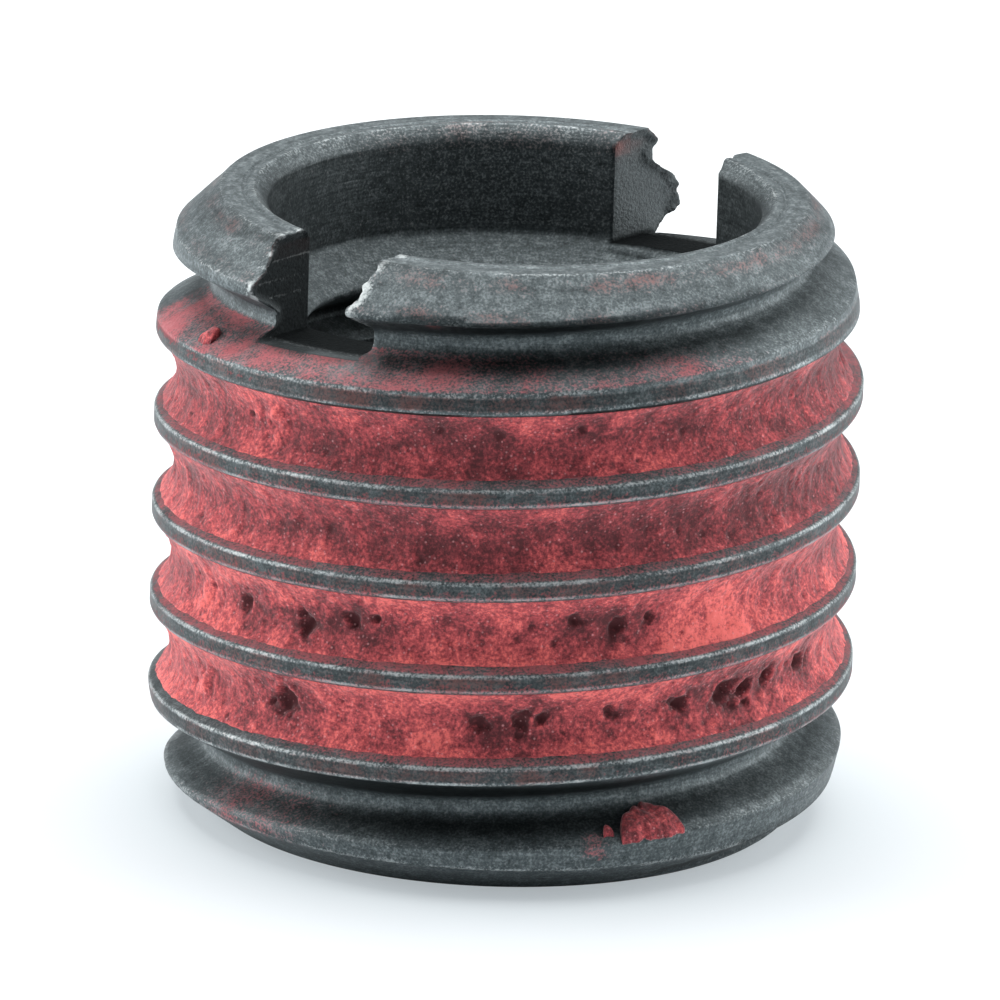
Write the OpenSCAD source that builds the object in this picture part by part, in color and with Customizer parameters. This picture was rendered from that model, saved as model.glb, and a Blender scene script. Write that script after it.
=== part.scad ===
// Slotted threaded insert of steel: a coarse right-hand thread outside, a bore for a
// finer inner thread, a driver slot across the top, and dried red locking compound in
// the outer grooves. The bore has the diameter over the inner thread's crests.
// Millimetres, +Z up. The origin is the centre of the bottom face, on the thread axis.

/* [Body] */
// Length from the bottom face to the top face
body_length = 16.9; // [15:0.1:30]

/* [Outer thread] */
// Outer diameter over the crests, three quarters of an inch less its allowance
outer_d = 18.95; // [18:0.05:24]
// Rise of the outer thread in one turn, ten turns to the inch
outer_pitch = 2.54; // [1.8:0.01:3]
// Share of the outer pitch that stays flat on the crest
outer_crest_share = 0.18; // [0.1:0.01:0.3]
// Share of the outer pitch that stays flat at the root
outer_root_share = 0.155; // [0.1:0.005:0.3]
// Angle at which the middle of the outer groove leaves the bottom face
outer_start = 298.1; // [0:0.1:360]

/* [Inner thread] */
// Wall between the outer crests and the inner thread's roots, which leaves half an inch
insert_wall = 3.125; // [2.4:0.005:4]
// Height of the inner thread's crests over its roots
inner_depth = 0.9; // [0.4:0.05:1.1]

/* [Ends] */
// How far both ends are turned in from the crests before their chamfers start
lead_in = 0.48; // [0.2:0.02:0.6]
// Height of the slight taper below the top chamfer
top_lead = 2.55; // [1:0.05:3.5]
// Height of the slight taper above the bottom chamfer
bottom_lead = 2.2; // [1:0.1:3]
// Width of the top chamfer, which is as high as it is wide
top_chamfer = 1.15; // [0.6:0.05:1.3]
// Width of the bottom chamfer
bottom_chamfer = 1.25; // [0.6:0.05:1.4]
// Height of the bottom chamfer
bottom_chamfer_height = 0.9; // [0.5:0.05:1.5]
// Depth of the plain counterbore above the inner thread
counterbore_depth = 2.95; // [2:0.05:4]
// Gap between the inner thread's roots and the counterbore wall
counterbore_gap = 0.25; // [0.1:0.05:0.4]
// Slope of the countersink below the counterbore, from level
countersink_angle = 35; // [30:1:60]
// Width of the small chamfer on the counterbore's rim
rim_chamfer = 0.35; // [0.2:0.05:0.6]
// Height of the small chamfer on the counterbore's rim
rim_chamfer_height = 0.33; // [0.2:0.01:0.6]
// How far the bottom countersink reaches past the inner thread's roots
bottom_sink = 0.2; // [0.1:0.05:0.4]

/* [Driver slot] */
// Width of the slot across the top
slot_width = 3.62; // [2.5:0.02:4.5]
// Depth of the middle of the slot's floor below the top face
slot_depth = 2.8; // [1.5:0.05:4]
// Direction of the slot, counted from +X
slot_angle = 50.8; // [0:0.1:180]
// How far the slot's middle line lies off the axis
slot_offset = 0.07; // [0:0.01:0.4]
// How much lower the floor lies at the slot's far end than at its near end
floor_fall = 0.3; // [0.05:0.05:0.6]
// How much higher the floor lies at one wall than at the other
floor_rise = 0.2; // [0.05:0.05:0.5]

/* [Locking compound] */
// Height of the compound's lower end above the bottom face
compound_low = 3.7; // [3:0.1:5]
// Distance of the compound's upper end below the top face
compound_high = 3.55; // [3:0.05:5]
// How far the compound's lower edge stops short of the crest below it
compound_low_edge = 0.3; // [0.1:0.02:0.4]
// How far the compound's upper edge stops short of the crest above it
compound_high_edge = 0.12; // [0.06:0.02:0.4]
// How far the middle of the compound dips below its edges
compound_dish = 0.42; // [0.1:0.02:0.6]
// Clearance between the compound and the groove
compound_gap = 0.02; // [0.01:0.005:0.04]
// Direction of the crumb of compound that lies on the lowest flank
crumb_angle = 297; // [275:1:320]
// Length of that crumb around the thread, in degrees
crumb_span = 13; // [10:1:30]
// How far that crumb stays inside the crest
crumb_edge = 0.25; // [0.2:0.05:0.5]
// How far that crumb reaches in from its outer edge
crumb_width = 1; // [0.5:0.05:1.1]
// Thickness of that crumb
crumb_height = 0.35; // [0.2:0.05:0.5]

/* [Hidden] */
$fn = 96;

// Each flank of the thread leans 30 degrees from a plane across the axis
flank_slope = tan(30);
// Stations in one turn of the thread
steps = 48;
// Places across the compound's face, from its lower edge to its upper edge
face_places = [-1, -0.5, 0, 0.5, 1];
// Pieces in the length of the crumb
crumb_steps = 12;
// How far a cutter runs past the surface that it cuts
overrun = 0.3;

outer_r = outer_d / 2;
outer_depth = outer_pitch * (1 - outer_crest_share - outer_root_share) / 2 / flank_slope;
outer_root_r = outer_r - outer_depth;
outer_root_flat = outer_pitch * outer_root_share;
lead_r = outer_r - lead_in;

inner_r = outer_r - insert_wall;
bore_r = inner_r - inner_depth;

counterbore_r = inner_r + counterbore_gap;
counterbore_z = body_length - counterbore_depth;
rim_r = counterbore_r + rim_chamfer;
countersink_height = (counterbore_r - bore_r) * tan(countersink_angle);
bottom_sink_r = inner_r + bottom_sink;
bottom_sink_height = (bottom_sink_r - bore_r) * tan(countersink_angle);

// A point at station k of the thread: radius r, and dz above the middle of the groove
function thread_point(k, r, dz) =
    let (a = outer_start + k * 360 / steps)
    [r * cos(a), r * sin(a), outer_pitch * k / steps + dz];

// Half of the groove's width at radius r
function half_width(r) = outer_root_flat / 2 + (r - outer_root_r) * flank_slope;

// Radius over the crests at height z, which falls along the slight taper below the top
function crest_r(z) =
    outer_r - lead_in * max(0, z - body_length + top_chamfer + top_lead) / top_lead;

// The closed skin over rings of equally many points, with a flat end at each side
module skin(rings) {
    n = len(rings[0]);
    last = len(rings) - 1;
    sides = [for (k = [0:last - 1]) for (i = [0:n - 1])
        let (a = k * n + i, b = k * n + (i + 1) % n)
        each [[a, b, a + n], [b, b + n, a + n]]];
    ends = [[for (i = [n - 1:-1:0]) i], [for (i = [0:n - 1]) last * n + i]];
    polyhedron(points = [for (ring = rings) each ring], faces = concat(sides, ends));
}

// The turned blank: both chamfered ends, the counterbore, its countersink and the bore
module blank() {
    rotate_extrude()
        polygon([
            [bore_r, bottom_sink_height],
            [bottom_sink_r, 0],
            [lead_r - bottom_chamfer, 0],
            [lead_r, bottom_chamfer_height],
            [outer_r, bottom_chamfer_height + bottom_lead],
            [outer_r, body_length - top_chamfer - top_lead],
            [lead_r, body_length - top_chamfer],
            [lead_r - top_chamfer, body_length],
            [rim_r, body_length],
            [counterbore_r, body_length - rim_chamfer_height],
            [counterbore_r, counterbore_z],
            [bore_r, counterbore_z - countersink_height]
        ]);
}

// The outer groove, from one turn below the bottom face to one turn above the top face
module outer_groove() {
    reach = outer_r + overrun;
    section = [
        [outer_root_r, -half_width(outer_root_r)], [reach, -half_width(reach)],
        [reach, half_width(reach)], [outer_root_r, half_width(outer_root_r)]
    ];
    turns = body_length / outer_pitch;
    skin([for (k = [-steps:ceil((turns + 1) * steps)])
        [for (p = section) thread_point(k, p[0], p[1])]]);
}

// The driver slot right across the top, between upright walls, with a sloping floor
module driver_slot() {
    reach = outer_r + overrun;
    rotate(slot_angle)
        intersection() {
            translate([-reach, -slot_offset - slot_width / 2, 0])
                cube([2 * reach, slot_width, body_length + overrun]);
            translate([0, -slot_offset, body_length - slot_depth])
                rotate([-atan(floor_rise / slot_width), atan(floor_fall / outer_d), 0])
                    translate([-2 * reach, -2 * reach, 0])
                        cube([4 * reach, 4 * reach, 2 * slot_depth]);
        }
}

// The steel insert, turned, threaded and slotted in one piece
module insert_body() {
    color("#43484a")
        difference() {
            blank();
            outer_groove();
            driver_slot();
        }
}

// One ring of the compound at station k, filling the groove up to radius low_r at its
// lower flank and high_r at its upper flank, with a face that dips between them
function fill_ring(k, low_r, high_r, dish) =
    let (
        root_r = outer_root_r + compound_gap,
        root = half_width(outer_root_r) - compound_gap,
        lift = compound_gap / cos(30)
    )
    concat(
        [thread_point(k, root_r, -root)],
        [for (t = face_places)
            let (edge = (low_r + high_r) / 2 + t * (high_r - low_r) / 2)
            thread_point(k, edge - dish * (1 - t * t), t * (half_width(edge) - lift))],
        [thread_point(k, root_r, root)]
    );

// One ring of a crumb at station k, lying on the lower flank from out_r in to in_r
function crumb_ring(k, in_r, out_r, height) =
    let (
        lift = compound_gap / cos(30),
        top = lift + height / cos(30)
    )
    [for (p = [[in_r, lift], [out_r, lift], [out_r, top], [in_r, top]])
        thread_point(k, p[0], p[1] - half_width(p[0]))];

// Share of the full size at station k of a run from first to last, less at its ends
function taper(k, first, last, ends) =
    max(0.08, min(1, (k - first) / ends, (last - k) / ends));

// The dried compound: one long run between the bare ends, and a crumb below it
module locking_compound() {
    bottom_r = outer_root_r + compound_gap;
    height = outer_depth - compound_low_edge - compound_gap;
    first = ceil(compound_low / outer_pitch * steps);
    last = floor((body_length - compound_high) / outer_pitch * steps);
    thin_end = steps / 12;

    crumb_half = crumb_span / 2 / 360 * steps;
    crumb_mid = (crumb_angle - outer_start + 360) / 360 * steps;
    crumb_out = outer_r - crumb_edge;
    crumb_reach = min(crumb_width, crumb_out - bottom_r);

    color("#b8343a") {
        skin([for (k = [first:last])
            let (
                part = taper(k, first, last, thin_end),
                high_r = crest_r(outer_pitch * (k / steps + 1 / 2)) - compound_high_edge
            )
            fill_ring(k, bottom_r + height * part, bottom_r + (high_r - bottom_r) * part,
                      min(compound_dish, height / 2) * part)]);
        skin([for (i = [0:crumb_steps])
            let (along = 2 * i / crumb_steps - 1, part = sqrt(max(0.02, 1 - along * along)))
            crumb_ring(crumb_mid + along * crumb_half, crumb_out - crumb_reach * part,
                       crumb_out, crumb_height * sqrt(part))]);
    }
}

insert_body();
locking_compound();
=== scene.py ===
"""Looks of a slotted threaded insert: turned steel with a matt black oxide and dried red
locking compound in its outer grooves.

Lengths are millimetres. Angles are radians in formulas and degrees where a class says so.
A mesh is turned to metres in one place, when it is handed to the scene.
"""
import logging
import math
from collections.abc import Callable
from dataclasses import dataclass
from enum import Enum

import bpy
import numpy as np
from mathutils import Matrix, Vector


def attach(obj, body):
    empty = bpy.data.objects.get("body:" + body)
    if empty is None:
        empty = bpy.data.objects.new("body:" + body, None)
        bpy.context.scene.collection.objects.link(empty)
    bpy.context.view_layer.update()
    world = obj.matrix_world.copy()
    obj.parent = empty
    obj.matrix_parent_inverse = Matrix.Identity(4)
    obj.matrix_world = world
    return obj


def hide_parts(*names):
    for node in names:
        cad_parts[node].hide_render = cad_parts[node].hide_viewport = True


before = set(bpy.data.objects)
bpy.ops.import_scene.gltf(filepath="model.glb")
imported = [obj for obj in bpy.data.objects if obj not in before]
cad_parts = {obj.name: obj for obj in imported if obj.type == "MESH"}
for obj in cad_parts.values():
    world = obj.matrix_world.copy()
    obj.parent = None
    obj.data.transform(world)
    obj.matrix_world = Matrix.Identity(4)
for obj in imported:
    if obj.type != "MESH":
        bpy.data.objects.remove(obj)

LOG = logging.getLogger("insert")
MM = 0.001
TURN = 2 * math.pi
FLANK = math.tan(math.radians(30))
FACE_RADIUS = 9.0  # where lengths along the groove are measured

Array = np.ndarray
Mesh = tuple[Array, Array]
Socket = bpy.types.NodeSocket


def lattice(cells: Array, seed: int) -> Array:
    """Random number of each lattice cell, by mixing its three whole coordinates.

    Args:
        cells: whole numbers, with three in the last axis.
        seed: picks another set of numbers.

    Returns:
        One number from 0 to 1 for each cell.
    """
    x, y, z = (cells[..., i].astype(np.int64).astype(np.uint32) for i in range(3))
    h = x * np.uint32(374761393) + y * np.uint32(668265263) + z * np.uint32(2246822519)
    h = h + np.uint32((seed * 3266489917) % 2**32)
    h = (h ^ (h >> np.uint32(13))) * np.uint32(1274126177)
    h = (h ^ (h >> np.uint32(15))) * np.uint32(2654435761)
    return ((h ^ (h >> np.uint32(16))) & np.uint32(0xFFFFFF)) / float(0xFFFFFF)


def noise(points: Array, cell: float, seed: int) -> Array:
    """Smooth noise: the lattice numbers blended by 3t^2 - 2t^3 along each axis.

    Args:
        points: places in space, with three in the last axis.
        cell: size of one lattice cell.
        seed: picks another pattern.

    Returns:
        Numbers from -1 to 1.
    """
    place = points / cell
    base = np.floor(place)
    part = place - base
    part = part * part * (3 - 2 * part)
    total = np.zeros(points.shape[:-1])
    for corner in np.ndindex(2, 2, 2):
        step = np.array(corner)
        weight = np.prod(np.where(step == 1, part, 1 - part), axis=-1)
        total += weight * lattice(base + step, seed)
    return 2 * total - 1


def rough(points: Array, cell: float, seed: int, layers: int = 3) -> Array:
    """Sum of noise layers, each half as large and half as strong as the one before.

    Args:
        points: places in space.
        cell: size of the largest layer's cells.
        seed: picks another pattern.
        layers: how many layers.

    Returns:
        Numbers from about -1 to 1.
    """
    return sum(noise(points, cell / 2**k, seed + 17 * k) / 2**k for k in range(layers)) / 1.6


def grains(points: Array, cell: float, share: float, seed: int) -> Array:
    """Round grains: 1 in the middle of a grain and 0 between them.

    Each cell of a lattice holds one grain or none. Its middle is moved at random within
    the cell, and its radius is 0.12 to 0.26 of the cell.

    Args:
        points: the places, in millimetres.
        cell: the size of a cell.
        share: the share of the cells that hold a grain.
        seed: which random lattice.

    Returns:
        The nearness of each point to a grain's middle.
    """
    cells = np.round(points / cell)
    shift = np.stack([lattice(cells, seed + k) for k in (1, 2, 3)], -1) - 0.5
    away = np.linalg.norm(points / cell - cells - 0.5 * shift, axis=-1)
    reach = 0.12 + 0.14 * lattice(cells, seed + 5)
    return (lattice(cells, seed) < share) * np.exp(-((away / reach) ** 4))


def soft_min(a: Array, b: Array, reach: float) -> Array:
    """Smaller of two numbers, with the corner between them rounded within the reach."""
    overlap = np.maximum(reach - np.abs(a - b), 0) / reach
    return np.minimum(a, b) - overlap * overlap * reach / 4


def soft_max(a: Array, b: Array, reach: float) -> Array:
    """Larger of two numbers, with the corner between them rounded within the reach."""
    return -soft_min(-a, -b, reach)


def bump_at(value: Array, centre: float, width: float) -> Array:
    """Bell curve, 1 at the centre and falling to a third at the width."""
    return np.exp(-(((value - centre) / width) ** 2))


def bells(value: Array, *marks: tuple[float, float, float]) -> Array:
    """Sum of bell curves, each given by its centre, width and strength."""
    return sum(strength * bump_at(value, centre, width) for centre, width, strength in marks)


def step_up(value: Array, start: float, end: float) -> Array:
    """Smooth step, 0 before the start and 1 after the end (or down where end < start)."""
    t = np.clip((value - start) / (end - start), 0, 1)
    return t * t * (3 - 2 * t)


def weld(points: Array, faces: Array) -> Mesh:
    """Merges points that share a place and drops the triangles that lose a corner.

    Args:
        points: corners of a mesh.
        faces: its triangles, as rows of three point numbers.

    Returns:
        The merged points and the triangles that are left.
    """
    key = np.round(points * 2e4).astype(np.int64)
    _, first, inverse = np.unique(key, axis=0, return_index=True, return_inverse=True)
    faces = inverse.reshape(-1)[faces]
    whole = (faces[:, 0] != faces[:, 1]) & (faces[:, 1] != faces[:, 2]) & (faces[:, 2] != faces[:, 0])
    return points[first], faces[whole]


def stacked(parts: list[Mesh]) -> Mesh:
    """All parts as one mesh, with their point numbers moved on.

    Args:
        parts: meshes of points and triangles.

    Returns:
        The one mesh.
    """
    points = np.concatenate([p for p, _ in parts])
    starts = np.cumsum([0] + [len(p) for p, _ in parts[:-1]])
    return points, np.concatenate([f + s for (_, f), s in zip(parts, starts)])


def joined(parts: list[Mesh]) -> Mesh:
    """All parts as one mesh whose shared points are merged."""
    return weld(*stacked(parts))


def around(angle: Array, radius: Array, height: Array) -> Array:
    """Points from cylinder coordinates: x = r cos a, y = r sin a, z = height."""
    angle, radius, height = np.broadcast_arrays(angle, radius, height)
    return np.stack([radius * np.cos(angle), radius * np.sin(angle), height], axis=-1)


def sleeve_faces(rows: int, columns: int) -> Array:
    """Triangles of a grid of points whose last column meets the first, two to a cell.

    Args:
        rows: points along the first axis.
        columns: points along the second axis.

    Returns:
        Triangles that face along (second axis) x (first axis).
    """
    i, j = np.meshgrid(np.arange(rows - 1), np.arange(columns), indexing="ij")
    on = (j + 1) % columns
    a, b = i * columns + j, i * columns + on
    c, d = b + columns, a + columns
    return np.concatenate([np.stack(corners, -1).reshape(-1, 3) for corners in ((a, b, c), (a, c, d))])


def capped_tube(rings: Array) -> Mesh:
    """Closed skin over rings of equally many points, with a fan at each end.

    Args:
        rings: points as (ring, place in the ring, coordinate).

    Returns:
        The points and triangles, facing along (start to end) x (order in the ring).
    """
    rows, columns = rings.shape[:2]
    middle = np.arange(1, columns - 1)
    cap = np.stack([np.zeros_like(middle), middle, middle + 1], -1)
    last = cap + (rows - 1) * columns
    faces = np.concatenate([sleeve_faces(rows, columns), cap[:, ::-1], last])
    return rings.reshape(-1, 3), faces[:, ::-1]


def softened(profile: Array, radius: float, pieces: int = 3) -> Array:
    """Open profile whose inner corners are replaced by short parabolas.

    Each corner c between a and b becomes (1-t)^2 p + 2t(1-t) c + t^2 q, where p and q lie
    the radius away from c towards a and b, or a third of the way if that is nearer.

    Args:
        profile: rows of radius and height.
        radius: how far from the corner the curve starts.
        pieces: pieces in each curve.

    Returns:
        The longer list of rows.
    """
    t = np.linspace(0, 1, pieces + 1)[:, None]
    out = [profile[:1]]
    for a, c, b in zip(profile[:-2], profile[1:-1], profile[2:]):
        to_a, to_b = a - c, b - c
        p = c + to_a * min(1 / 3, radius / np.linalg.norm(to_a))
        q = c + to_b * min(1 / 3, radius / np.linalg.norm(to_b))
        out.append((1 - t) ** 2 * p + 2 * t * (1 - t) * c + t**2 * q)
    return np.concatenate(out + [profile[-1:]])


def turned(profile: Array, columns: int, forward: bool) -> Mesh:
    """Surface of revolution of a profile: every row becomes a ring round the axis.

    Args:
        profile: rows of radius and height.
        columns: points in each ring.
        forward: whether it faces along (round the axis) x (on along the profile), or the
            other way.

    Returns:
        The points and triangles.
    """
    angles = np.arange(columns) * TURN / columns
    points = around(angles[None, :], profile[:, 0][:, None], profile[:, 1][:, None])
    faces = sleeve_faces(len(profile), columns)
    return points.reshape(-1, 3), faces if forward else faces[:, ::-1]


def halved(outer: tuple[float, float], inner: tuple[float, float], columns: int, upward: bool) -> Mesh:
    """Flat ring between a circle of many points and one of half as many inside it.

    Args:
        outer: radius and height of the outer circle.
        inner: radius and height of the inner circle.
        columns: points on the outer circle.
        upward: whether the ring faces up.

    Returns:
        The points and three triangles for each inner point.
    """
    many = np.arange(columns) * TURN / columns
    few = np.arange(columns // 2) * TURN / (columns // 2)
    points = np.concatenate([around(many, *outer), around(few, *inner)])
    i = np.arange(columns // 2)
    a, b, c = 2 * i, 2 * i + 1, (2 * i + 2) % columns
    p, q = columns + i, columns + (i + 1) % (columns // 2)
    faces = np.concatenate([np.stack(t, -1) for t in ((a, b, p), (b, q, p), (b, c, q))])
    return points, faces if upward else faces[:, ::-1]


@dataclass(frozen=True)
class ThreadForm:
    """A screw thread with 60 degree flanks and rounded crest and root corners.

    The groove's middle climbs one pitch in a turn. The radius depends only on the
    distance along the axis from that middle: the root radius over half the root flat,
    then a straight flank, then the crest radius. The start is in degrees.
    """

    pitch: float
    crest_radius: float
    root_radius: float
    root_flat: float
    start: float
    corner: float

    @property
    def depth(self) -> float:
        """Height of the crests over the roots."""
        return abs(self.crest_radius - self.root_radius)

    @property
    def crest_edge(self) -> float:
        """Distance from the groove's middle to the nearest edge of the crest."""
        return self.root_flat / 2 + self.depth * FLANK

    def middle(self, angle: Array) -> Array:
        """Height of the groove's middle: the pitch times the turns since the start."""
        return self.pitch * (angle - math.radians(self.start)) / TURN

    def across(self, angle: Array, height: Array) -> Array:
        """Signed distance above the nearest groove's middle, within half a pitch."""
        half = self.pitch / 2
        return (height - self.middle(angle) + half) % self.pitch - half

    def radius(self, across: Array) -> Array:
        """Radius by the distance across the groove, with both corners rounded.

        Args:
            across: distance from the groove's middle, along the axis.

        Returns:
            The radius.
        """
        rise = (np.abs(across) - self.root_flat / 2) / FLANK
        rise = soft_min(soft_max(rise, np.zeros_like(rise), self.corner), self.depth, self.corner)
        return self.root_radius + math.copysign(1, self.crest_radius - self.root_radius) * rise


@dataclass(frozen=True)
class HelicalWall:
    """Threaded wall between two levels, as a grid whose rows climb with the helix.

    Radius = thread form limited by an envelope of revolution. Rows lie on the form's
    corners. In each column the row nearest to a crease, where the envelope bends or cuts
    the thread, is moved onto it, and the cells beside it are split along it, so that
    every edge is true.
    """

    form: ThreadForm
    envelope: Callable[[Array], Array]
    creases: tuple[float, ...]
    low: float
    high: float
    columns: int
    flank_rows: int
    outward: bool
    blend: float = 0.04

    def radius(self, angle: Array, height: Array) -> Array:
        """Radius of the wall: the form, cut off softly where the envelope is nearer.

        Args:
            angle: direction from the axis.
            height: height of each point.

        Returns:
            The radius.
        """
        thread = self.form.radius(self.form.across(angle, height))
        limit = self.envelope(height)
        nearer = soft_min if self.outward else soft_max
        return nearer(thread, limit, self.blend)

    def row_heights(self) -> tuple[Array, int]:
        """Rows of the grid: one pitch of them, on the form's corners, over and over.

        Returns:
            The heights at angle 0, and how many rows a pitch has.
        """
        form = self.form
        soft = form.corner * FLANK
        root, crest = form.root_flat / 2, form.crest_edge
        flank = np.linspace(root + soft, crest - soft, self.flank_rows + 2)
        half = np.concatenate([[0, max(root - soft, root / 2)], flank,
                               [crest, crest + soft, crest + 2 * soft, form.pitch / 2]])
        one = np.concatenate([half, form.pitch - half[-2:0:-1]])
        first = math.floor((self.low - form.pitch - form.middle(0.0)) / form.pitch) - 1
        last = math.ceil((self.high - form.middle(0.0)) / form.pitch) + 1
        turns = np.arange(first, last + 1) * form.pitch + form.middle(0.0)
        return (turns[:, None] + one[None, :]).reshape(-1), len(one)

    def build(self) -> Mesh:
        """The wall's points and triangles, closed around and flat at both levels.

        A row that was moved onto a crease has a tag: 1 and up for the given creases, 100
        and up for the lines where the envelope cuts the thread.

        Returns:
            The points and triangles.
        """
        form, n = self.form, self.columns
        rows, per_pitch = self.row_heights()
        angle = np.arange(n) * TURN / n
        height = rows[None, :] + form.pitch * angle[:, None] / TURN
        tag = np.zeros(height.shape, int)
        column = np.arange(n)
        for mark, crease in enumerate(self.creases, 1):
            nearest = np.abs(height - crease).argmin(1)
            height[column, nearest] = crease
            tag[column, nearest] = mark

        step = 0.005
        fine = np.arange(self.low, self.high, step)
        gap = form.radius(form.across(angle[:, None], fine[None, :])) - self.envelope(fine)[None, :]
        i, m = np.nonzero(np.sign(gap[:, :-1]) * np.sign(gap[:, 1:]) < 0)
        cut = fine[m] + step * gap[i, m] / (gap[i, m] - gap[i, m + 1])
        nearest = np.abs(height[i] - cut[:, None]).argmin(1)
        turn = np.round((cut - form.middle(angle[i])) / form.pitch).astype(int)
        height[i, nearest] = cut
        tag[i, nearest] = 100 + 2 * turn + (form.across(angle[i], cut) > 0)

        height = np.clip(np.sort(height, axis=1), self.low, self.high)
        points = around(angle[:, None], self.radius(angle[:, None], height), height)

        count = len(rows)
        i, j = np.meshgrid(np.arange(n), np.arange(count - 1), indexing="ij")
        seam = np.where(i == n - 1, per_pitch, 0)
        on = (i + 1) % n * count
        a, d = i * count + j, i * count + j + 1
        b = on + np.minimum(j + seam, count - 1)
        c = on + np.minimum(j + 1 + seam, count - 1)
        flat = tag.reshape(-1)
        along_bd = ((flat[b] == flat[d]) & (flat[b] > 0))[..., None]
        one = np.where(along_bd, np.stack([a, b, d], -1), np.stack([a, b, c], -1))
        two = np.where(along_bd, np.stack([b, c, d], -1), np.stack([a, c, d], -1))
        faces = np.concatenate([one.reshape(-1, 3), two.reshape(-1, 3)])
        return points.reshape(-1, 3), faces if self.outward else faces[:, ::-1]


def linear(code: str) -> tuple[float, float, float, float]:
    """Linear colour of an sRGB hex code such as "4a5052"."""
    parts = [int(code[k:k + 2], 16) / 255 for k in (0, 2, 4)]
    return (*[v / 12.92 if v <= 0.04045 else ((v + 0.055) / 1.055) ** 2.4 for v in parts], 1.0)


def add(tree: bpy.types.NodeTree, kind: str, inputs: dict | None = None, out: int | str = 0,
        **settings) -> Socket | None:
    """Adds one node with its settings, its input values and its links.

    Args:
        tree: the node tree.
        kind: the node's type name, without the ShaderNode in front.
        inputs: by name or number, a value to set or an output to link.
        out: name or number of the output that is wanted.
        settings: properties of the node; "stops" are a colour ramp's places and colours.

    Returns:
        That output, or None for a node without any.
    """
    node = tree.nodes.new("ShaderNode" + kind)
    stops = settings.pop("stops", ())
    for name, value in settings.items():
        setattr(node, name, value)
    for _ in stops[2:]:
        node.color_ramp.elements.new(1.0)
    for number, (place, colour) in enumerate(stops):
        element = node.color_ramp.elements[number]
        element.position, element.color = place, colour
    for name, value in (inputs or {}).items():
        if isinstance(value, Socket):
            tree.links.new(value, node.inputs[name])
        else:
            node.inputs[name].default_value = value
    return node.outputs[out] if node.outputs else None


class Mask(str, Enum):
    """Names of the point attributes that carry where each finish shows."""

    # worn: bare metal where edges rubbed, and painted light on the counterbore's far wall
    WORN_AND_PAINTED_LIGHT = "worn"
    DUST = "dust"
    RUST = "rust"
    # dark: dull dark steel, and painted shade in the counterbore, the slot and the bare grooves
    DARK_AND_PAINTED_SHADE = "dark"
    TONE = "tone"
    PIT = "pit"


Masks = dict[Mask, Socket]


@dataclass(frozen=True)
class Finish:
    """What all finishes share: a material of its own, and the point masks that steer it."""

    name: str
    masks: tuple[Mask, ...]

    def make(self) -> bpy.types.Material:
        """Builds the material over object coordinates and the masks.

        Returns:
            The material.
        """
        material = bpy.data.materials.new(self.name)
        material.use_nodes = True
        tree = material.node_tree
        tree.nodes.clear()
        place = add(tree, "TexCoord", out="Object")
        masks = {m: add(tree, "Attribute", out="Fac", attribute_name=m.value) for m in self.masks}
        add(tree, "OutputMaterial", {0: self.surface(tree, place, masks)})
        return material

    def surface(self, tree: bpy.types.NodeTree, place: Socket, masks: Masks) -> Socket:
        """Adds the finish's own nodes.

        Args:
            tree: the material's tree.
            place: object coordinates.
            masks: the finish's masks, by name.

        Returns:
            The shader.
        """
        raise NotImplementedError

    def broken(self, tree: bpy.types.NodeTree, mask: Socket, grain: Socket, cover: float,
               level: float, gain: float) -> Socket:
        """A mask broken up by the grain: gain (cover mask + grain - level), from 0 to 1.

        Args:
            tree: the material's tree.
            mask: where the finish shows.
            grain: fine noise.
            cover: share of the mask.
            level: what is taken off.
            gain: how hard its edges are.

        Returns:
            The broken mask.
        """
        value = add(tree, "Math", {0: mask, 1: cover, 2: grain}, operation="MULTIPLY_ADD")
        value = add(tree, "Math", {0: value, 1: level}, operation="SUBTRACT")
        return add(tree, "Math", {0: value, 1: gain}, operation="MULTIPLY", use_clamp=True)

    def shaded(self, tree: bpy.types.NodeTree, colour: Socket, dark: Socket, depth: float) -> Socket:
        """The colour times (1 - depth dark)."""
        shade = add(tree, "Math", {0: dark, 1: -depth, 2: 1.0}, operation="MULTIPLY_ADD")
        return add(tree, "VectorMath", {0: colour, "Scale": shade}, operation="SCALE")


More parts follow.
